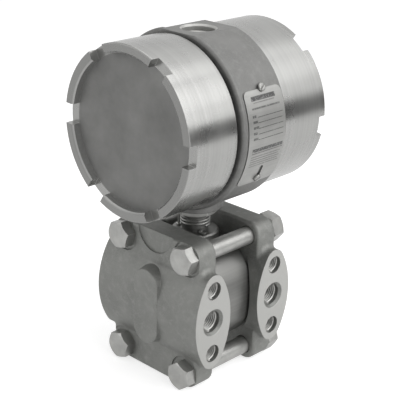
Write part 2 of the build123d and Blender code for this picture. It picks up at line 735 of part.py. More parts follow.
# Screws that hold the nameplate
for place, angle in (("upper", upper_screw_angle), ("lower", lower_screw_angle)):
    head_seat = radial_plane(angle, plate_mid_y, plate_outer_radius + plate_gap)
    with BuildPart() as plate_screw:
        with BuildSketch(head_seat):
            Circle(plate_screw_head_radius)
        extrude(amount=plate_screw_head_height)
        head_face = plate_screw.faces().sort_by(Axis(head_seat.origin, head_seat.z_dir))[-1]
        fillet(head_face.edges(), radius=plate_screw_edge_radius)
        with BuildSketch(head_seat.offset(plate_screw_head_height)):
            Rectangle(2 * plate_screw_head_radius, screw_slot_width, rotation=plate_screw_slot_angle)
        extrude(amount=-screw_slot_depth, mode=Mode.SUBTRACT)
        with BuildSketch(head_seat):
            Circle(plate_screw_radius - thread_fit)
        extrude(amount=-(plate_screw_depth + plate_thickness))
    plate_screw.part.label = place + "_nameplate_screw"
    export_step(plate_screw.part, "parts/" + place + "_nameplate_screw.step")

# Zero and span screws, sunk in the band under the upper end of the nameplate
for place, step in (("zero", -1), ("span", 1)):
    adjuster_y = housing_mid_y + adjuster_offset_y + step * adjuster_spacing / 2
    adjuster_seat = radial_plane(adjuster_angle, adjuster_y, band_radius - adjuster_sink)
    with BuildPart() as adjuster:
        with BuildSketch(adjuster_seat):
            Circle(adjuster_head_radius)
        extrude(amount=adjuster_head_height)
        with BuildSketch(adjuster_seat.offset(adjuster_head_height)):
            Rectangle(2 * adjuster_head_radius, screw_slot_width)
        extrude(amount=-screw_slot_depth, mode=Mode.SUBTRACT)
        with BuildSketch(adjuster_seat):
            Circle(adjuster_shaft_radius)
        extrude(amount=-(band_radius - adjuster_sink - adjuster_inner_reach))
    adjuster.part.label = place + "_screw"
    export_step(adjuster.part, "parts/" + place + "_screw.step")

# Plug screwed flush into the spare conduit entry
plug_centre = (-side_boss_reach + plug_sink, housing_mid_y, axis_z)
plug_plane = Plane(origin=plug_centre, x_dir=(0, 1, 0), z_dir=(-1, 0, 0))
with BuildPart() as conduit_plug:
    with BuildSketch(plug_plane):
        Circle(conduit_radius - thread_fit)
    extrude(amount=-plug_length)
    with BuildSketch(plug_plane):
        RegularPolygon(plug_socket_flats / 2 * hex_corner, 6)
    extrude(amount=-plug_socket_depth, mode=Mode.SUBTRACT)
conduit_plug.part.label = "conduit_plug"
export_step(conduit_plug.part, "parts/conduit_plug.step")

# Terminal block on the rear of the partition, with open bays between its barriers
block_face_y = wall_rear_y + terminal_block_depth
with BuildPart() as terminal_block:
    with BuildSketch(Plane.XZ.offset(-wall_rear_y)):
        with Locations((0, axis_z)):
            RectangleRounded(terminal_block_length, terminal_block_height, terminal_block_corner)
    extrude(amount=-terminal_block_depth)
    with BuildSketch(Plane.XZ.offset(-block_face_y)):
        with Locations((0, axis_z - terminal_block_height / 4)):
            with GridLocations(terminal_pitch, 0, terminal_count, 1):
                Rectangle(terminal_bay_width, terminal_bay_height)
    extrude(amount=terminal_bay_depth, mode=Mode.SUBTRACT)
    with BuildSketch(Plane.XZ.offset(-block_face_y)):
        with Locations((0, axis_z - terminal_block_height / 4)):
            with GridLocations(terminal_pitch, 0, terminal_count, 1):
                Circle(terminal_screw_radius + thread_fit)
    extrude(amount=terminal_bay_depth + terminal_screw_length, mode=Mode.SUBTRACT)
    with BuildSketch(Plane.XZ.offset(-wall_rear_y)):
        with Locations((0, axis_z + block_screw_offset_z)):
            with GridLocations(block_screw_spacing, 0, 2, 1):
                Circle(block_screw_radius + screw_hole_clearance)
    extrude(amount=-terminal_block_depth, mode=Mode.SUBTRACT)
terminal_block.part.label = "terminal_block"
export_step(terminal_block.part, "parts/terminal_block.step")

# Wire screws in the bays, and the two screws that hold the block
bay_floor = Plane(
    origin=(0, block_face_y - terminal_bay_depth, axis_z - terminal_block_height / 4),
    x_dir=(1, 0, 0),
    z_dir=(0, 1, 0),
)
with BuildPart() as terminal_screws:
    with BuildSketch(bay_floor):
        with GridLocations(terminal_pitch, 0, terminal_count, 1):
            Circle(terminal_head_radius)
    extrude(amount=terminal_head_height)
    with BuildSketch(bay_floor.offset(terminal_head_height)):
        with GridLocations(terminal_pitch, 0, terminal_count, 1):
            Rectangle(2 * terminal_head_radius, screw_slot_width)
    extrude(amount=-screw_slot_depth, mode=Mode.SUBTRACT)
    with BuildSketch(bay_floor):
        with GridLocations(terminal_pitch, 0, terminal_count, 1):
            Circle(terminal_screw_radius)
    extrude(amount=-terminal_screw_length)
terminal_screws.part.label = "terminal_screws"
export_step(terminal_screws.part, "parts/terminal_screws.step")

block_front = Plane(
    origin=(0, block_face_y, axis_z + block_screw_offset_z),
    x_dir=(1, 0, 0),
    z_dir=(0, 1, 0),
)
with BuildPart() as block_screws:
    with BuildSketch(block_front):
        with GridLocations(block_screw_spacing, 0, 2, 1):
            Circle(block_screw_head_radius)
    extrude(amount=board_screw_head_height)
    with BuildSketch(block_front):
        with GridLocations(block_screw_spacing, 0, 2, 1):
            Circle(block_screw_radius)
    extrude(amount=-(terminal_block_depth + block_screw_depth))
block_screws.part.label = "terminal_block_screws"
export_step(block_screws.part, "parts/terminal_block_screws.step")

# Two round circuit boards on posts, in front of the partition
post_spacing = board_post_circle * sqrt(2)
lower_board_y = wall_front_y - lower_post_length
upper_board_y = lower_board_y - board_thickness - upper_post_length
with BuildPart() as lower_posts:
    with BuildSketch(Plane.XZ.offset(-wall_front_y)):
        with Locations((0, axis_z)):
            with GridLocations(post_spacing, post_spacing, 2, 2):
                RegularPolygon(board_post_flats / 2 * hex_corner, 6)
    extrude(amount=lower_post_length)
lower_posts.part.label = "lower_board_posts"
export_step(lower_posts.part, "parts/lower_board_posts.step")

with BuildPart() as upper_posts:
    with BuildSketch(Plane.XZ.offset(-lower_board_y + board_thickness)):
        with Locations((0, axis_z)):
            with GridLocations(post_spacing, post_spacing, 2, 2):
                RegularPolygon(board_post_flats / 2 * hex_corner, 6)
    extrude(amount=upper_post_length)
    with BuildSketch(Plane.XZ.offset(-upper_board_y)):
        with Locations((0, axis_z)):
            with GridLocations(post_spacing, post_spacing, 2, 2):
                Circle(board_screw_radius + thread_fit)
    extrude(amount=-board_screw_depth, mode=Mode.SUBTRACT)
upper_posts.part.label = "upper_board_posts"
export_step(upper_posts.part, "parts/upper_board_posts.step")

for board_name, board_y, hole_radius in (
    ("amplifier_board", lower_board_y, 0),
    ("calibration_board", upper_board_y, board_screw_radius + screw_hole_clearance),
):
    with BuildPart() as board:
        with BuildSketch(Plane.XZ.offset(-board_y)):
            with Locations((0, axis_z)):
                Circle(board_radius)
            if hole_radius:
                with Locations((0, axis_z)):
                    with GridLocations(post_spacing, post_spacing, 2, 2):
                        Circle(hole_radius, mode=Mode.SUBTRACT)
        extrude(amount=board_thickness)
    board.part.label = board_name
    export_step(board.part, "parts/" + board_name + ".step")

with BuildPart() as board_screws:
    with BuildSketch(Plane.XZ.offset(-upper_board_y + board_thickness)):
        with Locations((0, axis_z)):
            with GridLocations(post_spacing, post_spacing, 2, 2):
                Circle(board_screw_head_radius)
    extrude(amount=board_screw_head_height)
    with BuildSketch(Plane.XZ.offset(-upper_board_y + board_thickness)):
        with Locations((0, axis_z)):
            with GridLocations(post_spacing, post_spacing, 2, 2):
                Circle(board_screw_radius)
    extrude(amount=-(board_thickness + board_screw_depth))
board_screws.part.label = "board_screws"
export_step(board_screws.part, "parts/board_screws.step")
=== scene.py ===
"""Studio scene of a differential pressure transmitter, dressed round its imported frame."""

from math import cos, pi, radians, sin

import bmesh
import bpy
from mathutils import Matrix, Quaternion, Vector


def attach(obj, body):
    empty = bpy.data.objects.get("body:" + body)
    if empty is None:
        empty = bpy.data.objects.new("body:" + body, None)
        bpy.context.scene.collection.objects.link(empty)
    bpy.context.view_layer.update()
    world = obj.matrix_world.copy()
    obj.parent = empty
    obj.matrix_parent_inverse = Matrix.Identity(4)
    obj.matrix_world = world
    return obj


bl_info = {
    "name": "Pressure transmitter studio",
    "version": (1, 0, 0),
    "blender": (4, 5, 0),
    "location": "3D View > Sidebar > Transmitter",
    "description": "Dresses the packed frame of a pressure transmitter and sets up its studio",
    "category": "Object",
}

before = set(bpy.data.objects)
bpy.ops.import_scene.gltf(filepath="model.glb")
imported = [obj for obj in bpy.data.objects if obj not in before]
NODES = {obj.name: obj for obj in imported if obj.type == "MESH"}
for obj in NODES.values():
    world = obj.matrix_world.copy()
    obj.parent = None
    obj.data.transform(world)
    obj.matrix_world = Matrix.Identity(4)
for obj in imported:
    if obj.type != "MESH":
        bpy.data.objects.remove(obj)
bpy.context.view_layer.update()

# Places in the frame, in metres
PORT_HEIGHT = 0.04725
HOUSING_AXIS_Z = 0.16035
HOUSING_MID_Y = -0.0012
FLANGE_Y = 0.027
FLANGE_END_X = 0.043
COVER_FACE_RADIUS = 0.0456
COVER_END_Y = 0.0577
CONDUIT_MOUTH_RADIUS = 0.01103
CONDUIT_FLOOR_Z = 0.192

# Walls that carry a modelled thread
PORT_RADIUS = 0.00685
PORT_THREAD_X = 0.02745
PORT_THREAD_LENGTH = 0.0138
HOLE_RADIUS = 0.00555
HOLE_OFFSET_Z = 0.02065
HOLE_THREAD_X = 0.0274
HOLE_THREAD_LENGTH = 0.0152
CONDUIT_RADIUS = 0.00985
CONDUIT_THREAD_Z = 0.1938
CONDUIT_THREAD_LENGTH = 0.0172
NECK_ROOT_RADIUS = 0.00885
NECK_CREST_RADIUS = 0.00942
NECK_FOOT_Z = 0.08995
NECK_THREAD_LENGTH = 0.0098
SLEEVE_THICKNESS = 0.00006

# Studio
FLOOR_HALF_SIZE = 6.0
LAMP_AIM = (0.0, 0.0, 0.11)
CARD_SIZE = (1.9, 0.27, 1.0)
CARD_PLACE = (0.62, 0.62, 0.138)
CARD_TURN = radians(-45)

# Surfaces
RING_LINES = 620.0
PLATE_TEXTURE = (900.0, 1500.0, 900.0)
PLATE_BRUSH = (2200.0, 40.0, 2200.0)
SMOOTH_ANGLE = radians(35.0)
DEGREES_IN_RADIAN = 180.0 / pi

COVER_NODES = ("front_cover", "rear_cover")
FLANGE_NODES = ("front_flange", "rear_flange")
FASTENER_NODES = tuple(
    "flange_" + kind + "_" + corner
    for kind in ("bolt", "nut")
    for corner in ("upper_left", "upper_right", "lower_left", "lower_right")
)
SEAL_NODES = ("front_cover_seal", "rear_cover_seal", "front_flange_seal", "rear_flange_seal")
VALVE_NODES = ("front_vent_seat", "rear_vent_seat", "front_vent_stem", "rear_vent_stem")


# Settings


class CameraSettings(bpy.types.PropertyGroup):
    """Where the camera stands"""

    target: bpy.props.FloatVectorProperty(
        name="Target",
        description="Point that the camera looks at",
        default=(0.00369, 0.0, 0.10665),
        subtype="TRANSLATION",
        unit="LENGTH",
    )
    azimuth: bpy.props.FloatProperty(
        name="Azimuth",
        description="Angle of the camera from the front cover towards the ports",
        default=radians(43.56),
        subtype="ANGLE",
    )
    elevation: bpy.props.FloatProperty(
        name="Elevation",
        description="Angle of the camera above level",
        default=radians(21.37),
        subtype="ANGLE",
    )
    roll: bpy.props.FloatProperty(
        name="Roll",
        description="Turn of the camera about its own view",
        default=radians(1.56),
        subtype="ANGLE",
    )
    distance: bpy.props.FloatProperty(
        name="Distance",
        description="Distance from the target",
        default=0.6611,
        unit="LENGTH",
    )
    lens: bpy.props.FloatProperty(
        name="Focal length",
        description="Lens length on a sensor 36 mm wide",
        default=97.43,
        subtype="DISTANCE_CAMERA",
    )


class StageSettings(bpy.types.PropertyGroup):
    """Lamps, backdrop and floor"""

    key_power: bpy.props.FloatProperty(
        name="Key lamp",
        description="Power of the broad lamp on the side of the ports",
        default=9.0,
        unit="POWER",
    )
    top_power: bpy.props.FloatProperty(
        name="Top lamp",
        description="Power of the broad lamp overhead",
        default=5.0,
        unit="POWER",
    )
    fill_power: bpy.props.FloatProperty(
        name="Fill lamp",
        description="Power of the weak lamp in front",
        default=2.0,
        unit="POWER",
    )
    edge_power: bpy.props.FloatProperty(
        name="Edge lamp",
        description="Power of the pale panel behind the ports, seen along the covers' sides",
        default=1.35,
        unit="POWER",
    )
    room_light: bpy.props.FloatProperty(
        name="Room light",
        description="Level of the even light from all round",
        default=0.3,
        min=0.0,
    )
    floor_glow: bpy.props.FloatProperty(
        name="Floor glow",
        description="How far the paper is lifted towards white where it is seen",
        default=0.68,
        min=0.0,
    )
    floor_colour: bpy.props.FloatVectorProperty(
        name="Floor colour",
        description="Colour of the paper under the object",
        default=(0.62, 0.62, 0.62),
        size=3,
        subtype="COLOR",
    )


class FinishSettings(bpy.types.PropertyGroup):
    """Colours of the metals"""

    cast_colour: bpy.props.FloatVectorProperty(
        name="Flange casting",
        description="Colour of the blasted flange castings",
        default=(0.215, 0.218, 0.207),
        size=3,
        subtype="COLOR",
    )
    machined_colour: bpy.props.FloatVectorProperty(
        name="Machined faces",
        description="Colour of the faced pads and seats of the castings",
        default=(0.41, 0.41, 0.395),
        size=3,
        subtype="COLOR",
    )
    housing_colour: bpy.props.FloatVectorProperty(
        name="Housing casting",
        description="Colour of the blasted housing",
        default=(0.162, 0.162, 0.157),
        size=3,
        subtype="COLOR",
    )
    cover_colour: bpy.props.FloatVectorProperty(
        name="Turned covers",
        description="Colour of the turned sides and rims of the covers",
        default=(0.31, 0.31, 0.302),
        size=3,
        subtype="COLOR",
    )
    cover_face_colour: bpy.props.FloatVectorProperty(
        name="Cover faces",
        description="Colour of the cast faces inside the covers' rims",
        default=(0.235, 0.235, 0.228),
        size=3,
        subtype="COLOR",
    )
    bolt_colour: bpy.props.FloatVectorProperty(
        name="Bolts",
        description="Colour of the plated bolts and nuts",
        default=(0.37, 0.37, 0.357),
        size=3,
        subtype="COLOR",
    )
    module_colour: bpy.props.FloatVectorProperty(
        name="Sensor module",
        description="Colour of the turned module, collar and neck",
        default=(0.20, 0.20, 0.193),
        size=3,
        subtype="COLOR",
    )
    plate_colour: bpy.props.FloatVectorProperty(
        name="Nameplate",
        description="Colour of the satin plate",
        default=(0.31, 0.31, 0.30),
        size=3,
        subtype="COLOR",
    )
    ink_colour: bpy.props.FloatVectorProperty(
        name="Plate ink",
        description="Colour of the ruled lines on the plate",
        default=(0.045, 0.045, 0.045),
        size=3,
        subtype="COLOR",
    )


class ThreadSettings(bpy.types.PropertyGroup):
    """Sizes of the modelled threads"""

    neck_pitch: bpy.props.FloatProperty(
        name="Neck pitch",
        description="Pitch of the thread on the neck",
        default=0.00195,
        unit="LENGTH",
    )
    port_pitch: bpy.props.FloatProperty(
        name="Port pitch",
        description="Pitch of the pipe thread in the process ports",
        default=0.00141,
        unit="LENGTH",
    )
    bolt_hole_pitch: bpy.props.FloatProperty(
        name="Bolt hole pitch",
        description="Pitch of the thread in the adapter bolt holes",
        default=0.00127,
        unit="LENGTH",
    )
    conduit_pitch: bpy.props.FloatProperty(
        name="Conduit pitch",
        description="Pitch of the thread in the conduit entry",
        default=0.00181,
        unit="LENGTH",
    )
    steps_per_turn: bpy.props.IntProperty(
        name="Steps in a turn",
        description="Facets in one turn of a thread",
        default=48,
        min=12,
    )


# Materials


def start_material(name):
    """Makes a node material; returns it with its tree, shader and object coordinates."""
    material = bpy.data.materials.new(name)
    material.use_nodes = True
    tree = material.node_tree
    tree.nodes.clear()
    output = tree.nodes.new("ShaderNodeOutputMaterial")
    shader = tree.nodes.new("ShaderNodeBsdfPrincipled")
    coordinates = tree.nodes.new("ShaderNodeTexCoord")
    tree.links.new(shader.outputs["BSDF"], output.inputs["Surface"])
    return material, tree, shader, coordinates.outputs["Object"]


def mapped(tree, vector, scale, location=(0.0, 0.0, 0.0)):
    """Scales and shifts a vector."""
    mapping = tree.nodes.new("ShaderNodeMapping")
    mapping.inputs["Scale"].default_value = scale
    mapping.inputs["Location"].default_value = location
    tree.links.new(vector, mapping.inputs["Vector"])
    return mapping.outputs["Vector"]


def noise(tree, vector, scale, detail, roughness):
    """Soft noise, from 0 to 1."""
    texture = tree.nodes.new("ShaderNodeTexNoise")
    texture.inputs["Scale"].default_value = scale
    texture.inputs["Detail"].default_value = detail
    texture.inputs["Roughness"].default_value = roughness
    tree.links.new(vector, texture.inputs["Vector"])
    return texture.outputs["Fac"]


def spread(tree, value, low, high, to_low=0.0, to_high=1.0):
    """Maps a value from one range to another, and clamps it there."""
    node = tree.nodes.new("ShaderNodeMapRange")
    node.inputs["From Min"].default_value = low
    node.inputs["From Max"].default_value = high
    node.inputs["To Min"].default_value = to_low
    node.inputs["To Max"].default_value = to_high
    tree.links.new(value, node.inputs["Value"])
    return node.outputs["Result"]


def calculate(tree, operation, first, second=None):
    """One Math node; an argument is a socket or a number."""
    node = tree.nodes.new("ShaderNodeMath")
    node.operation = operation
    for index, argument in enumerate((first, second)):
        if argument is None:
            continue
        if isinstance(argument, (int, float)):
            node.inputs[index].default_value = argument
        else:
            tree.links.new(argument, node.inputs[index])
    return node.outputs["Value"]


def split_axes(tree, vector):
    """The three parts of a vector."""
    node = tree.nodes.new("ShaderNodeSeparateXYZ")
    tree.links.new(vector, node.inputs["Vector"])
    return node.outputs["X"], node.outputs["Y"], node.outputs["Z"]


def seen_by_eye(tree):
    """1 for camera, glossy and transmission rays, and 0 for the light that things receive."""
    path = tree.nodes.new("ShaderNodeLightPath")
    seen = calculate(tree, "MAXIMUM", path.outputs["Is Camera Ray"], path.outputs["Is Glossy Ray"])
    return calculate(tree, "MAXIMUM", seen, path.outputs["Is Transmission Ray"])


def blend_colours(tree, factor, first, second):
    """Mixes two colours; each is a socket or three numbers."""
    node = tree.nodes.new("ShaderNodeMix")
    node.data_type = "RGBA"
    tree.links.new(factor, node.inputs["Factor"])
    for socket, colour in ((node.inputs[6], first), (node.inputs[7], second)):
        if isinstance(colour, bpy.types.NodeSocket):
            tree.links.new(colour, socket)
        else:
            socket.default_value = (*colour, 1.0)
    return node.outputs[2]


def shaded(colour, amount):
    """A colour made lighter or darker."""
    return tuple(min(1.0, part * amount) for part in colour)


def relief(tree, shader, height, distance, strength, edge_radius):
    """Puts a small relief on the surface, over softened edges unless their radius is 0."""
    bump = tree.nodes.new("ShaderNodeBump")
    bump.inputs["Distance"].default_value = distance
    bump.inputs["Strength"].default_value = strength
    tree.links.new(height, bump.inputs["Height"])
    if edge_radius:
        bevel = tree.nodes.new("ShaderNodeBevel")
        bevel.samples = 6
        bevel.inputs["Radius"].default_value = edge_radius
        tree.links.new(bevel.outputs["Normal"], bump.inputs["Normal"])
    tree.links.new(bump.outputs["Normal"], shader.inputs["Normal"])


def distance_across(tree, first, second):
    """Length of two parts of a vector taken together."""
    squares = [calculate(tree, "MULTIPLY", part, part) for part in (first, second)]
    return calculate(tree, "SQRT", calculate(tree, "ADD", *squares))


def radius_about_housing(tree, vector):
    """Distance from the axis of the housing."""
    x, _, z = split_axes(tree, mapped(tree, vector, (1, 1, 1), (0, 0, -HOUSING_AXIS_Z)))
    return distance_across(tree, x, z)


def blasted_casting(name, colour, machined, machined_mask, grain=900.0):
    """Blasted steel or aluminium casting, with a lighter machined finish where the mask says."""
    material, tree, shader, vector = start_material(name)
    grit = noise(tree, vector, grain * 2.0, 4.0, 0.65)
    blotch = noise(tree, vector, 60.0, 5.0, 0.62)
    patches = spread(tree, blotch, 0.36, 0.64)
    cast = blend_colours(tree, patches, shaded(colour, 0.78), shaded(colour, 1.2))
    mottle = noise(tree, vector, 240.0, 4.0, 0.7)
    flecks = spread(tree, mottle, 0.52, 0.72, 0.0, 0.75)
    cast = blend_colours(tree, flecks, cast, shaded(colour, 1.45))
    cast = blend_colours(tree, spread(tree, grit, 0.35, 0.75), cast, shaded(colour, 1.2))
    mask = machined_mask(tree, vector)
    cast = blend_colours(tree, mask, cast, machined)
    roughness = spread(tree, blotch, 0.3, 0.7, 0.50, 0.62)
    cutter = spread(tree, grit, 0.3, 0.7, 0.36, 0.44)
    difference = calculate(tree, "SUBTRACT", cutter, roughness)
    roughness = calculate(tree, "ADD", roughness, calculate(tree, "MULTIPLY", mask, difference))
    tree.links.new(cast, shader.inputs["Base Color"])
    tree.links.new(roughness, shader.inputs["Roughness"])
    shader.inputs["Metallic"].default_value = 0.55
    coarse = noise(tree, vector, grain * 0.35, 3.0, 0.6)
    height = calculate(tree, "ADD", grit, coarse)
    relief(tree, shader, height, 0.00006, 0.7, 0.0006)
    return material


def pad_mask(tree, vector):
    """1 on the faced ends of the flanges."""
    x, _, _ = split_axes(tree, vector)
    reach = calculate(tree, "ABSOLUTE", x)
    return spread(tree, reach, FLANGE_END_X - 0.00025, FLANGE_END_X - 0.0001)


def conduit_mask(tree, vector):
    """1 in the conduit entry and on its chamfer."""
    x, y, z = split_axes(tree, mapped(tree, vector, (1, 1, 1), (0, -HOUSING_MID_Y, 0)))
    radius = distance_across(tree, x, y)
    inside = spread(tree, radius, CONDUIT_MOUTH_RADIUS - 0.0001, CONDUIT_MOUTH_RADIUS, 1.0, 0.0)
    return calculate(tree, "MULTIPLY", inside, calculate(tree, "GREATER_THAN", z, CONDUIT_FLOOR_Z))


def turned_metal(
    name, colour, face_colour=None, axis="Y", roughness=0.27, anisotropy=0.6, edge_radius=0.0004
):
    """Lathe-turned metal with fine rings; where a face colour is given, a cover's cast face and
    painted shade on the rim's end face.
    """
    material, tree, shader, vector = start_material(name)
    lines = (2.0, RING_LINES, 2.0) if axis == "Y" else (2.0, 2.0, RING_LINES)
    rings = noise(tree, mapped(tree, vector, lines), 1.0, 0.0, 0.5)
    haze = noise(tree, vector, 38.0, 3.0, 0.55)
    cuts = spread(tree, rings, 0.3, 0.7)
    turned = blend_colours(tree, cuts, shaded(colour, 0.94), shaded(colour, 1.05))
    veil = spread(tree, haze, 0.35, 0.8, 0.0, 0.5)
    turned = blend_colours(tree, veil, turned, shaded(colour, 1.12))
    rough = spread(tree, haze, 0.3, 0.7, roughness - 0.04, roughness + 0.05)
    metal = None
    height = rings
    if face_colour is not None:
        radius = radius_about_housing(tree, vector)
        face = spread(tree, radius, COVER_FACE_RADIUS - 0.00015, COVER_FACE_RADIUS, 1.0, 0.0)
        grit = noise(tree, vector, 1900.0, 4.0, 0.65)
        blotch = noise(tree, vector, 45.0, 4.0, 0.6)
        patches = spread(tree, blotch, 0.3, 0.7)
        cast = blend_colours(tree, patches, shaded(face_colour, 0.84), shaded(face_colour, 1.14))
        _, y, _ = split_axes(tree, mapped(tree, vector, (1, 1, 1), (0, -HOUSING_MID_Y, 0)))
        reach = calculate(tree, "ABSOLUTE", y)
        # Painted shade: the rim's end face is darkened to 0.72 of the turned colour, standing in
        # for the dimmer reflection it shows.
        rim_painted_shade = spread(tree, reach, COVER_END_Y - 0.0006, COVER_END_Y - 0.0001)
        turned = blend_colours(tree, rim_painted_shade, turned, shaded(colour, 0.72))
        turned = blend_colours(tree, face, turned, cast)
        rough = calculate(tree, "ADD", rough, calculate(tree, "MULTIPLY", face, 0.36))
        metal = calculate(tree, "SUBTRACT", 0.92, calculate(tree, "MULTIPLY", face, 0.5))
        coarse = calculate(tree, "MULTIPLY", face, calculate(tree, "MULTIPLY", grit, 26.0))
        height = calculate(tree, "ADD", rings, coarse)
    tree.links.new(turned, shader.inputs["Base Color"])
    tree.links.new(rough, shader.inputs["Roughness"])
    if metal is None:
        shader.inputs["Metallic"].default_value = 0.92
    else:
        tree.links.new(metal, shader.inputs["Metallic"])
    shader.inputs["Anisotropic"].default_value = anisotropy
    shader.inputs["Anisotropic Rotation"].default_value = 0.25
    tangent = tree.nodes.new("ShaderNodeTangent")
    tangent.direction_type = "RADIAL"
    tangent.axis = axis
    tree.links.new(tangent.outputs["Tangent"], shader.inputs["Tangent"])
    relief(tree, shader, height, 0.000012, 0.12, edge_radius)
    return material


def plain_metal(name, colour, roughness, metallic=0.9, grain=1400.0, edge_radius=0.0003):
    """Satin metal with a slight cloud and grain."""
    material, tree, shader, vector = start_material(name)
    cloud = noise(tree, vector, 140.0, 4.0, 0.6)
    grit = noise(tree, vector, grain, 3.0, 0.6)
    patches = spread(tree, cloud, 0.3, 0.7)
    tone = blend_colours(tree, patches, shaded(colour, 0.86), shaded(colour, 1.12))
    tree.links.new(tone, shader.inputs["Base Color"])
    rough = spread(tree, grit, 0.3, 0.7, roughness - 0.05, roughness + 0.07)
    tree.links.new(rough, shader.inputs["Roughness"])
    shader.inputs["Metallic"].default_value = metallic
    relief(tree, shader, grit, 0.00002, 0.6, edge_radius)
    return material


def moulding(name, colour, roughness):
    """Plastic, rubber or laminate with a fine texture."""
    material, tree, shader, vector = start_material(name)
    cloud = noise(tree, vector, 220.0, 3.0, 0.6)
    grit = noise(tree, vector, 1600.0, 2.0, 0.5)
    patches = spread(tree, cloud, 0.3, 0.7)
    tone = blend_colours(tree, patches, shaded(colour, 0.85), shaded(colour, 1.2))
    tree.links.new(tone, shader.inputs["Base Color"])
    rough = spread(tree, grit, 0.3, 0.7, roughness - 0.06, roughness + 0.08)
    tree.links.new(rough, shader.inputs["Roughness"])
    relief(tree, shader, grit, 0.00003, 0.5, 0.0002)
    return material


def stripe(tree, value, low, high, soft):
    """1 where a value lies between two limits."""
    up = spread(tree, value, low - soft, low + soft)
    down = spread(tree, value, high - soft, high + soft, 1.0, 0.0)
    return calculate(tree, "MULTIPLY", up, down)


def printed_plate(name, colour, ink):
    """Satin plate with ruled fields, a heading block and rows of unreadable small print."""
    material, tree, shader, vector = start_material(name)
    x, y, z = split_axes(tree, mapped(tree, vector, (1, 1, 1), (0, 0, -HOUSING_AXIS_Z)))
    around = calculate(tree, "MULTIPLY", calculate(tree, "ARCTAN2", x, z), DEGREES_IN_RADIAN)
    # Each row: first and last degree round the band, left and right end, strength of the ink.
    rows = [
        (65.0, 67.8, -0.0102, 0.0098, 1.0),
        (68.6, 69.2, -0.0090, 0.0085, 0.6),
        (71.7, 72.7, -0.0110, 0.0122, 0.75),
        (96.4, 98.6, -0.0118, 0.0142, 0.95),
        (99.2, 99.8, -0.0118, 0.0142, 0.8),
    ]
    for index, angle in enumerate((77.2, 80.5, 83.9, 87.3, 90.7)):
        rows.append((angle, angle + 0.4, -0.0075, 0.0138, 1.0))
        rows.append((angle - 1.3, angle + 0.2, -0.0115, -0.0085 + 0.0008 * (index % 3), 0.85))
    for index, angle in enumerate((101.4, 103.0, 104.6, 106.2, 107.8)):
        rows.append((angle, angle + 0.7, -0.0118, 0.0130 - 0.0012 * (index % 2), 0.6))
    ink_mask = None
    for low, high, left, right, strength in rows:
        band = stripe(tree, around, low, high, 0.12)
        across = stripe(tree, y, left, right, 0.0002)
        mark = calculate(tree, "MULTIPLY", calculate(tree, "MULTIPLY", band, across), strength)
        ink_mask = mark if ink_mask is None else calculate(tree, "MAXIMUM", ink_mask, mark)
    letters = noise(tree, mapped(tree, vector, PLATE_TEXTURE), 1.0, 1.0, 0.4)
    gaps = spread(tree, letters, 0.36, 0.46, 0.35, 1.0)
    ink_mask = calculate(tree, "MULTIPLY", ink_mask, gaps)
    cloud = noise(tree, vector, 90.0, 3.0, 0.6)
    brush = noise(tree, mapped(tree, vector, PLATE_BRUSH), 1.0, 2.0, 0.5)
    patches = spread(tree, cloud, 0.3, 0.7)
    metal = blend_colours(tree, patches, shaded(colour, 0.92), shaded(colour, 1.08))
    metal = blend_colours(tree, spread(tree, brush, 0.3, 0.7, 0.0, 0.5), metal, shaded(colour, 0.9))
    tree.links.new(blend_colours(tree, ink_mask, metal, ink), shader.inputs["Base Color"])
    tree.links.new(spread(tree, brush, 0.3, 0.7, 0.38, 0.48), shader.inputs["Roughness"])
    dulled = calculate(tree, "MULTIPLY", ink_mask, 0.7)
    tree.links.new(calculate(tree, "SUBTRACT", 0.75, dulled), shader.inputs["Metallic"])
    relief(tree, shader, brush, 0.00001, 0.5, 0.0002)
    return material


def put_material(names, material):
    """Gives CAD nodes one material."""
    for name in names:
        slots = NODES[name].data.materials
        slots.clear()
        slots.append(material)


# Mesh pieces


def finish_piece(name, mesh_builder, material, body):
    """Turns a bmesh into a piece that rides on a body."""
    bmesh.ops.remove_doubles(mesh_builder, verts=mesh_builder.verts, dist=1e-7)
    bmesh.ops.recalc_face_normals(mesh_builder, faces=mesh_builder.faces)
    mesh = bpy.data.meshes.new(name)
    mesh_builder.to_mesh(mesh)
    mesh_builder.free()
    piece = bpy.data.objects.new(name, mesh)
    bpy.context.scene.collection.objects.link(piece)
    mesh.materials.append(material)
    mesh.shade_smooth()
    mesh.set_sharp_from_angle(angle=SMOOTH_ANGLE)
    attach(piece, body)
    return piece


def profile_edges(builder, points):
    """Adds an open chain of edges through points given as (radius, height)."""
    verts = [builder.verts.new((radius, 0.0, height)) for radius, height in points]
    edges = [builder.edges.new(pair) for pair in zip(verts, verts[1:])]
    return verts + edges


def thread_ribbon(builder, crest, root, pitch, length, steps):
    """Sweeps one tooth up a helix round Z."""
    turns = max(1, int(length / pitch) - 1)
    tooth = [
        (root, 0.0),
        (root, 0.08 * pitch),
        (crest, 0.44 * pitch),
        (crest, 0.56 * pitch),
        (root, 0.92 * pitch),
        (root, pitch),
    ]
    chain = profile_edges(builder, tooth)
    bmesh.ops.spin(
        builder,
        geom=chain,
        cent=(0, 0, 0),
        axis=(0, 0, 1),
        dvec=(0, 0, pitch / steps),
        angle=2 * pi * turns,
        steps=steps * turns,
        use_merge=False,
    )
    bmesh.ops.remove_doubles(builder, verts=builder.verts, dist=1e-6)


def aim(builder, place, direction):
    """Turns a mesh built up Z so that its Z points along a direction, and moves it to its place."""
    turn = Vector((0, 0, 1)).rotation_difference(Vector(direction)).to_matrix().to_4x4()
    bmesh.ops.transform(builder, matrix=Matrix.Translation(place) @ turn, verts=builder.verts)


def add_thread(name, root, crest, pitch, length, foot, direction, material, body, steps):
    """Thin threaded sleeve that lies against the wall of a bore or round a neck."""
    builder = bmesh.new()
    thread_ribbon(builder, crest, root, pitch, length, steps)
    bmesh.ops.recalc_face_normals(builder, faces=builder.faces)
    bmesh.ops.solidify(builder, geom=builder.faces, thickness=SLEEVE_THICKNESS)
    aim(builder, foot, direction)
    return finish_piece(name, builder, material, body)


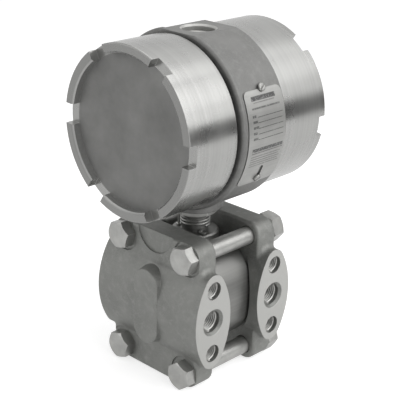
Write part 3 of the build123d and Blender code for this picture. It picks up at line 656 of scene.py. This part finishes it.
def add_bore_thread(name, radius, pitch, length, mouth, direction, material, body, steps):
    """Thread cut inside a bore, whose crests stand inwards from the wall."""
    root, crest = radius - 0.0001, radius - 0.55 * pitch
    return add_thread(
        name, root, crest, pitch, length, mouth, direction, material, body, steps
    )


# Operators


class TRANSMITTER_OT_camera(bpy.types.Operator):
    """Set the camera at the viewing angle of the photograph"""

    bl_idname = "transmitter.camera"
    bl_label = "Camera"

    def execute(self, context):
        settings = context.scene.transmitter_camera
        azimuth, elevation = settings.azimuth, settings.elevation
        level = cos(elevation)
        back = Vector((sin(azimuth) * level, -cos(azimuth) * level, sin(elevation)))
        camera_data = bpy.data.cameras.new("studio_camera")
        camera_data.lens = settings.lens
        camera_data.sensor_width = 36.0
        camera_data.clip_start = 0.01
        camera = bpy.data.objects.new("studio_camera", camera_data)
        context.scene.collection.objects.link(camera)
        camera.location = Vector(settings.target) + back * settings.distance
        camera.rotation_mode = "QUATERNION"
        roll = Quaternion((0, 0, 1), settings.roll)
        camera.rotation_quaternion = (-back).to_track_quat("-Z", "Y") @ roll
        context.scene.camera = camera
        return {"FINISHED"}


class TRANSMITTER_OT_stage(bpy.types.Operator):
    """Lay the pale floor and set the soft lamps"""

    bl_idname = "transmitter.stage"
    bl_label = "Stage"

    def execute(self, context):
        settings = context.scene.transmitter_stage
        builder = bmesh.new()
        bmesh.ops.create_grid(builder, x_segments=1, y_segments=1, size=FLOOR_HALF_SIZE)
        mesh = bpy.data.meshes.new("studio_floor")
        builder.to_mesh(mesh)
        builder.free()
        floor = bpy.data.objects.new("studio_floor", mesh)
        context.scene.collection.objects.link(floor)
        mesh.materials.append(self.floor_material(settings.floor_colour, settings.floor_glow))
        self.lamp(context, "key_lamp", (0.95, 0.25, 0.62), 1.2, settings.key_power)
        self.lamp(context, "top_lamp", (-0.05, 0.15, 1.15), 1.2, settings.top_power)
        self.lamp(context, "fill_lamp", (-0.55, -1.0, 0.55), 1.0, settings.fill_power)
        self.lamp(context, "edge_lamp", (0.40, 0.75, 0.86), 0.7, settings.edge_power)
        self.dark_card(context)
        self.room(context.scene, settings.room_light)
        context.scene.view_settings.view_transform = "Standard"
        return {"FINISHED"}

    def floor_material(self, colour, glow):
        """Paper that reads as white to the camera and keeps the object's shadow."""
        material, tree, shader, vector = start_material("floor_paper")
        fibre = noise(tree, vector, 30.0, 2.0, 0.5)
        tone = blend_colours(tree, spread(tree, fibre, 0.3, 0.7), shaded(colour, 0.99), colour)
        tree.links.new(tone, shader.inputs["Base Color"])
        shader.inputs["Roughness"].default_value = 0.9
        shader.inputs["Specular IOR Level"].default_value = 0.1
        shader.inputs["Emission Color"].default_value = (1.0, 1.0, 1.0, 1.0)
        x, y, _ = split_axes(tree, vector)
        lift = spread(tree, distance_across(tree, x, y), 0.8, 3.0, glow, glow + 0.2)
        glow_seen = calculate(tree, "MULTIPLY", seen_by_eye(tree), lift)
        tree.links.new(glow_seen, shader.inputs["Emission Strength"])
        return material

    def lamp(self, context, name, place, size, power):
        """Square area lamp that faces the housing."""
        data = bpy.data.lights.new(name, "AREA")
        data.shape = "SQUARE"
        data.size = size
        data.energy = power
        lamp = bpy.data.objects.new(name, data)
        context.scene.collection.objects.link(lamp)
        lamp.location = place
        lamp.rotation_mode = "QUATERNION"
        lamp.rotation_quaternion = (Vector(LAMP_AIM) - Vector(place)).to_track_quat("-Z", "Y")

    def dark_card(self, context):
        """Low grey card, seen only in the metal, for the dark line along the covers."""
        builder = bmesh.new()
        bmesh.ops.create_grid(builder, x_segments=1, y_segments=1, size=0.5)
        bmesh.ops.scale(builder, vec=CARD_SIZE, verts=builder.verts)
        bmesh.ops.rotate(builder, matrix=Matrix.Rotation(radians(90), 3, "X"), verts=builder.verts)
        bmesh.ops.rotate(builder, matrix=Matrix.Rotation(CARD_TURN, 3, "Z"), verts=builder.verts)
        bmesh.ops.translate(builder, vec=CARD_PLACE, verts=builder.verts)
        mesh = bpy.data.meshes.new("dark_card")
        builder.to_mesh(mesh)
        builder.free()
        card = bpy.data.objects.new("dark_card", mesh)
        context.scene.collection.objects.link(card)
        material, _, shader, _ = start_material("card_felt")
        shader.inputs["Base Color"].default_value = (0.12, 0.12, 0.12, 1.0)
        shader.inputs["Roughness"].default_value = 1.0
        shader.inputs["Specular IOR Level"].default_value = 0.0
        mesh.materials.append(material)
        card.visible_camera = False
        card.visible_diffuse = False
        card.visible_shadow = False

    def room(self, scene, level):
        """Even light all round, under a backdrop that the camera and the metals see as white."""
        world = bpy.data.worlds.new("studio_room")
        scene.world = world
        world.use_nodes = True
        tree = world.node_tree
        tree.nodes.clear()
        output = tree.nodes.new("ShaderNodeOutputWorld")
        even = tree.nodes.new("ShaderNodeBackground")
        even.inputs["Strength"].default_value = level
        backdrop = tree.nodes.new("ShaderNodeBackground")
        backdrop.inputs["Strength"].default_value = 1.0
        for light in (even, backdrop):
            light.inputs["Color"].default_value = (1.0, 1.0, 1.0, 1.0)
        chooser = tree.nodes.new("ShaderNodeMixShader")
        tree.links.new(seen_by_eye(tree), chooser.inputs["Fac"])
        tree.links.new(even.outputs["Background"], chooser.inputs[1])
        tree.links.new(backdrop.outputs["Background"], chooser.inputs[2])
        tree.links.new(chooser.outputs["Shader"], output.inputs["Surface"])


class TRANSMITTER_OT_castings(bpy.types.Operator):
    """Finish the flange castings and the housing casting"""

    bl_idname = "transmitter.castings"
    bl_label = "Castings"

    def execute(self, context):
        finish = context.scene.transmitter_finish
        machined = finish.machined_colour
        flange = blasted_casting("flange_casting", finish.cast_colour, machined, pad_mask)
        put_material(FLANGE_NODES, flange)
        housing = blasted_casting(
            "housing_casting", finish.housing_colour, machined, conduit_mask, grain=1100.0
        )
        put_material(("housing_body", "front_spigot", "rear_spigot"), housing)
        return {"FINISHED"}


class TRANSMITTER_OT_covers(bpy.types.Operator):
    """Finish the turned covers and the sealing rings"""

    bl_idname = "transmitter.covers"
    bl_label = "Covers"

    def execute(self, context):
        finish = context.scene.transmitter_finish
        metal = turned_metal("cover_turning", finish.cover_colour, finish.cover_face_colour)
        put_material(COVER_NODES, metal)
        put_material(SEAL_NODES, moulding("seal_rubber", (0.02, 0.02, 0.02), 0.55))
        return {"FINISHED"}


class TRANSMITTER_OT_fasteners(bpy.types.Operator):
    """Finish the bolts, nuts, screws, plug and vent valves"""

    bl_idname = "transmitter.fasteners"
    bl_label = "Fasteners"

    def execute(self, context):
        finish = context.scene.transmitter_finish
        plated = plain_metal("plated_steel", finish.bolt_colour, 0.42, 0.75)
        put_material(FASTENER_NODES, plated)
        small = plain_metal("small_screw_steel", shaded(finish.bolt_colour, 0.75), 0.34)
        screws = ("upper_nameplate_screw", "lower_nameplate_screw", "zero_screw", "span_screw")
        put_material(screws + ("board_screws", "terminal_block_screws"), small)
        valve = turned_metal(
            "valve_steel", shaded(finish.bolt_colour, 1.1), axis="X", edge_radius=0.0002
        )
        put_material(VALVE_NODES, valve)
        nut = plain_metal("lock_nut_steel", shaded(finish.bolt_colour, 1.15), 0.45, 0.6)
        put_material(("lock_nut", "conduit_plug"), nut)
        return {"FINISHED"}


class TRANSMITTER_OT_module(bpy.types.Operator):
    """Finish the sensor module and cut the thread on its neck"""

    bl_idname = "transmitter.module"
    bl_label = "Sensor module"

    def execute(self, context):
        finish = context.scene.transmitter_finish
        settings = context.scene.transmitter_threads
        metal = turned_metal(
            "module_turning", finish.module_colour, axis="Z", roughness=0.42, anisotropy=0.2
        )
        put_material(("sensor_module", "module_header", "fill_plug"), metal)
        pale = shaded(finish.bolt_colour, 1.8)
        bright = plain_metal("bright_steel", pale, 0.35, 0.5, 900.0, 0.0002)
        put_material(("fill_tube", "front_diaphragm", "rear_diaphragm"), bright)
        dark = shaded(finish.module_colour, 1.3)
        thread = plain_metal("neck_thread", dark, 0.35, 0.9, 900.0, 0.0)
        add_thread(
            "neck_thread_turns",
            NECK_ROOT_RADIUS,
            NECK_CREST_RADIUS,
            settings.neck_pitch,
            NECK_THREAD_LENGTH,
            (0, 0, NECK_FOOT_Z),
            (0, 0, 1),
            thread,
            "pressure_unit",
            settings.steps_per_turn,
        )
        return {"FINISHED"}


class TRANSMITTER_OT_threads(bpy.types.Operator):
    """Cut the threads of the ports, the adapter holes and the conduit entry"""

    bl_idname = "transmitter.threads"
    bl_label = "Threads"

    def execute(self, context):
        finish = context.scene.transmitter_finish
        settings = context.scene.transmitter_threads
        steps = settings.steps_per_turn
        cut = plain_metal("cut_thread", shaded(finish.machined_colour, 0.8), 0.34, 0.95, 900.0, 0.0)
        levels = (("upper", PORT_HEIGHT + HOLE_OFFSET_Z), ("lower", PORT_HEIGHT - HOLE_OFFSET_Z))
        for place, y in (("front", -FLANGE_Y), ("rear", FLANGE_Y)):
            add_bore_thread(
                place + "_port_thread",
                PORT_RADIUS,
                settings.port_pitch,
                PORT_THREAD_LENGTH,
                (PORT_THREAD_X, y, PORT_HEIGHT),
                (1, 0, 0),
                cut,
                "pressure_unit",
                steps,
            )
            for level, z in levels:
                add_bore_thread(
                    place + "_" + level + "_hole_thread",
                    HOLE_RADIUS,
                    settings.bolt_hole_pitch,
                    HOLE_THREAD_LENGTH,
                    (HOLE_THREAD_X, y, z),
                    (1, 0, 0),
                    cut,
                    "pressure_unit",
                    steps,
                )
        add_bore_thread(
            "conduit_thread",
            CONDUIT_RADIUS,
            settings.conduit_pitch,
            CONDUIT_THREAD_LENGTH,
            (0, HOUSING_MID_Y, CONDUIT_THREAD_Z),
            (0, 0, 1),
            cut,
            "housing",
            steps,
        )
        return {"FINISHED"}


class TRANSMITTER_OT_nameplate(bpy.types.Operator):
    """Print the nameplate's ruled fields"""

    bl_idname = "transmitter.nameplate"
    bl_label = "Nameplate"

    def execute(self, context):
        finish = context.scene.transmitter_finish
        plate = printed_plate("plate_print", finish.plate_colour, finish.ink_colour)
        put_material(("nameplate",), plate)
        return {"FINISHED"}


class TRANSMITTER_OT_electronics(bpy.types.Operator):
    """Finish the terminal block, the boards and their posts"""

    bl_idname = "transmitter.electronics"
    bl_label = "Electronics"

    def execute(self, context):
        put_material(("terminal_block",), moulding("block_thermoset", (0.035, 0.035, 0.04), 0.45))
        laminate = moulding("board_laminate", (0.05, 0.17, 0.08), 0.35)
        put_material(("amplifier_board", "calibration_board"), laminate)
        brass = plain_metal("terminal_brass", (0.66, 0.52, 0.26), 0.3)
        put_material(("terminal_screws", "lower_board_posts", "upper_board_posts"), brass)
        return {"FINISHED"}


PIECE_OPERATORS = (
    TRANSMITTER_OT_castings,
    TRANSMITTER_OT_covers,
    TRANSMITTER_OT_fasteners,
    TRANSMITTER_OT_module,
    TRANSMITTER_OT_threads,
    TRANSMITTER_OT_nameplate,
    TRANSMITTER_OT_electronics,
)


class TRANSMITTER_PT_panel(bpy.types.Panel):
    """Sidebar panel that lists the steps"""

    bl_idname = "TRANSMITTER_PT_panel"
    bl_label = "Pressure transmitter"
    bl_space_type = "VIEW_3D"
    bl_region_type = "UI"
    bl_category = "Transmitter"

    def draw(self, context):
        for operator in (TRANSMITTER_OT_camera, TRANSMITTER_OT_stage) + PIECE_OPERATORS:
            self.layout.operator(operator.bl_idname)


CLASSES = (
    CameraSettings,
    StageSettings,
    FinishSettings,
    ThreadSettings,
    TRANSMITTER_OT_camera,
    TRANSMITTER_OT_stage,
    *PIECE_OPERATORS,
    TRANSMITTER_PT_panel,
)


def register():
    for added in CLASSES:
        bpy.utils.register_class(added)
    bpy.types.Scene.transmitter_camera = bpy.props.PointerProperty(type=CameraSettings)
    bpy.types.Scene.transmitter_stage = bpy.props.PointerProperty(type=StageSettings)
    bpy.types.Scene.transmitter_finish = bpy.props.PointerProperty(type=FinishSettings)
    bpy.types.Scene.transmitter_threads = bpy.props.PointerProperty(type=ThreadSettings)


def unregister():
    del bpy.types.Scene.transmitter_threads
    del bpy.types.Scene.transmitter_finish
    del bpy.types.Scene.transmitter_stage
    del bpy.types.Scene.transmitter_camera
    for added in reversed(CLASSES):
        bpy.utils.unregister_class(added)


def main():
    """Runs every step in order."""
    register()
    bpy.ops.transmitter.camera()
    bpy.ops.transmitter.stage()
    bpy.ops.transmitter.castings()
    bpy.ops.transmitter.covers()
    bpy.ops.transmitter.fasteners()
    bpy.ops.transmitter.module()
    bpy.ops.transmitter.threads()
    bpy.ops.transmitter.nameplate()
    bpy.ops.transmitter.electronics()


if __name__ == "__main__":
    main()
